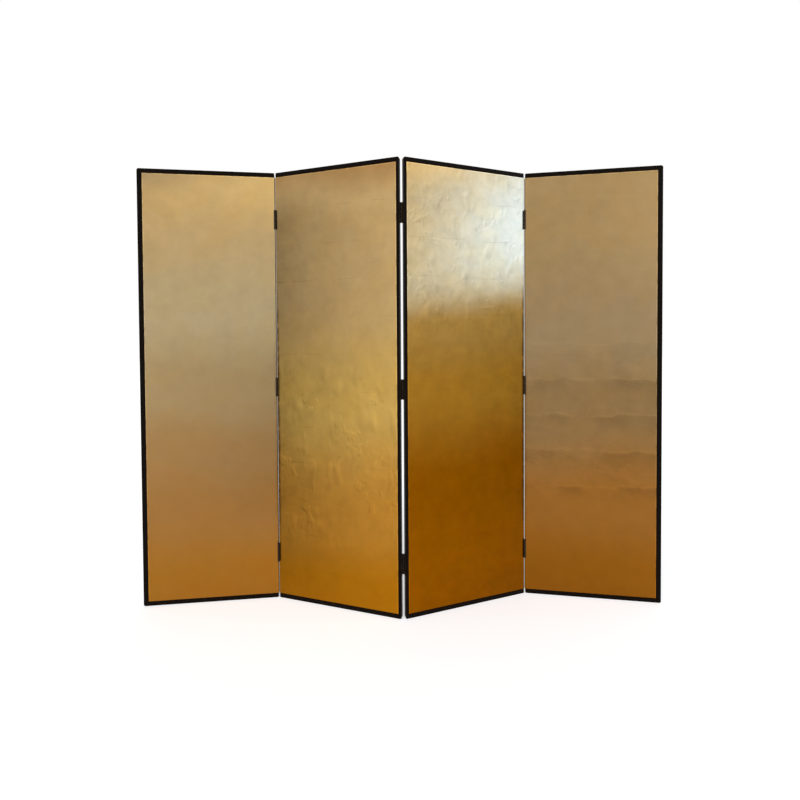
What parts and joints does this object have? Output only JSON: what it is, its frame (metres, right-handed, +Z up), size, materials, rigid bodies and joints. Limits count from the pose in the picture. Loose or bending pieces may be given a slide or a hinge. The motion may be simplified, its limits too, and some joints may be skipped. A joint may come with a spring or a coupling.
{
  "type": "folding screen",
  "caption": "Free-standing folding screen with gilded paper panels in a black lacquered frame, joined edge to edge by butt hinges so that it folds flat like an accordion.",
  "frame": {"origin": "under the middle of the standing screen's bounding box, on the floor", "axes": "+Z up, +X along the screen from its left end to its right end as seen from the gilded side, -Y out of the gilded side"},
  "size_m": [2.0846, 0.1866, 1.75],
  "materials": {
    "gilded_paper": "gold leaf in squares on paper, burnished",
    "backing_paper": "matt mulberry paper",
    "cedar": "planed, unfinished",
    "black_lacquer": "gloss black lacquer",
    "hinge_metal": "black japanned, worn on the knuckles",
    "screw_metal": "blackened",
    "nail_steel": "drawn wire"
  },
  "bodies": {
    "panel_1": {"left_fold_bottom_hinge_leaf_panel_1": "hinge_metal", "left_fold_centre_hinge_leaf_panel_1": "hinge_metal", "left_fold_screws_panel_1": "screw_metal", "left_fold_top_hinge_leaf_panel_1": "hinge_metal", "panel_1_back_paper": "backing_paper", "panel_1_bottom_rail": "black_lacquer", "panel_1_core_frame": "cedar", "panel_1_core_lattice": "cedar", "panel_1_end_stile": "black_lacquer", "panel_1_frame_nails": "nail_steel", "panel_1_front_paper": "gilded_paper", "panel_1_top_rail": "black_lacquer"},
    "panel_2": {"left_fold_bottom_hinge_leaf_panel_2": "hinge_metal", "left_fold_centre_hinge_leaf_panel_2": "hinge_metal", "left_fold_hinge_pins": "hinge_metal", "left_fold_screws_panel_2": "screw_metal", "left_fold_top_hinge_leaf_panel_2": "hinge_metal", "middle_fold_bottom_hinge_leaf_panel_2": "hinge_metal", "middle_fold_centre_hinge_leaf_panel_2": "hinge_metal", "middle_fold_hinge_pins": "hinge_metal", "middle_fold_screws_panel_2": "screw_metal", "middle_fold_top_hinge_leaf_panel_2": "hinge_metal", "panel_2_back_paper": "backing_paper", "panel_2_bottom_rail": "black_lacquer", "panel_2_core_frame": "cedar", "panel_2_core_lattice": "cedar", "panel_2_frame_nails": "nail_steel", "panel_2_front_paper": "gilded_paper", "panel_2_meeting_stile": "black_lacquer", "panel_2_top_rail": "black_lacquer"},
    "panel_3": {"middle_fold_bottom_hinge_leaf_panel_3": "hinge_metal", "middle_fold_centre_hinge_leaf_panel_3": "hinge_metal", "middle_fold_screws_panel_3": "screw_metal", "middle_fold_top_hinge_leaf_panel_3": "hinge_metal", "panel_3_back_paper": "backing_paper", "panel_3_bottom_rail": "black_lacquer", "panel_3_core_frame": "cedar", "panel_3_core_lattice": "cedar", "panel_3_frame_nails": "nail_steel", "panel_3_front_paper": "gilded_paper", "panel_3_meeting_stile": "black_lacquer", "panel_3_top_rail": "black_lacquer", "right_fold_bottom_hinge_leaf_panel_3": "hinge_metal", "right_fold_centre_hinge_leaf_panel_3": "hinge_metal", "right_fold_hinge_pins": "hinge_metal", "right_fold_screws_panel_3": "screw_metal", "right_fold_top_hinge_leaf_panel_3": "hinge_metal"},
    "panel_4": {"panel_4_back_paper": "backing_paper", "panel_4_bottom_rail": "black_lacquer", "panel_4_core_frame": "cedar", "panel_4_core_lattice": "cedar", "panel_4_end_stile": "black_lacquer", "panel_4_frame_nails": "nail_steel", "panel_4_front_paper": "gilded_paper", "panel_4_top_rail": "black_lacquer", "right_fold_bottom_hinge_leaf_panel_4": "hinge_metal", "right_fold_centre_hinge_leaf_panel_4": "hinge_metal", "right_fold_screws_panel_4": "screw_metal", "right_fold_top_hinge_leaf_panel_4": "hinge_metal"}
  },
  "joints": [
    {"name": "left_fold", "type": "hinge", "parent": "panel_2", "child": "panel_1", "pos_m": [-0.51099, 0.07514, 0.875], "axis": [0, 0, 1], "range_deg": [-24.5, 155.5]},
    {"name": "middle_fold", "type": "hinge", "parent": "panel_2", "child": "panel_3", "pos_m": [0.00218, -0.07575, 0.875], "axis": [0, 0, 1], "range_deg": [-37.7, 142.3]},
    {"name": "right_fold", "type": "hinge", "parent": "panel_3", "child": "panel_4", "pos_m": [0.51535, 0.07514, 0.875], "axis": [0, 0, -1], "range_deg": [-29, 151]}
  ]
}
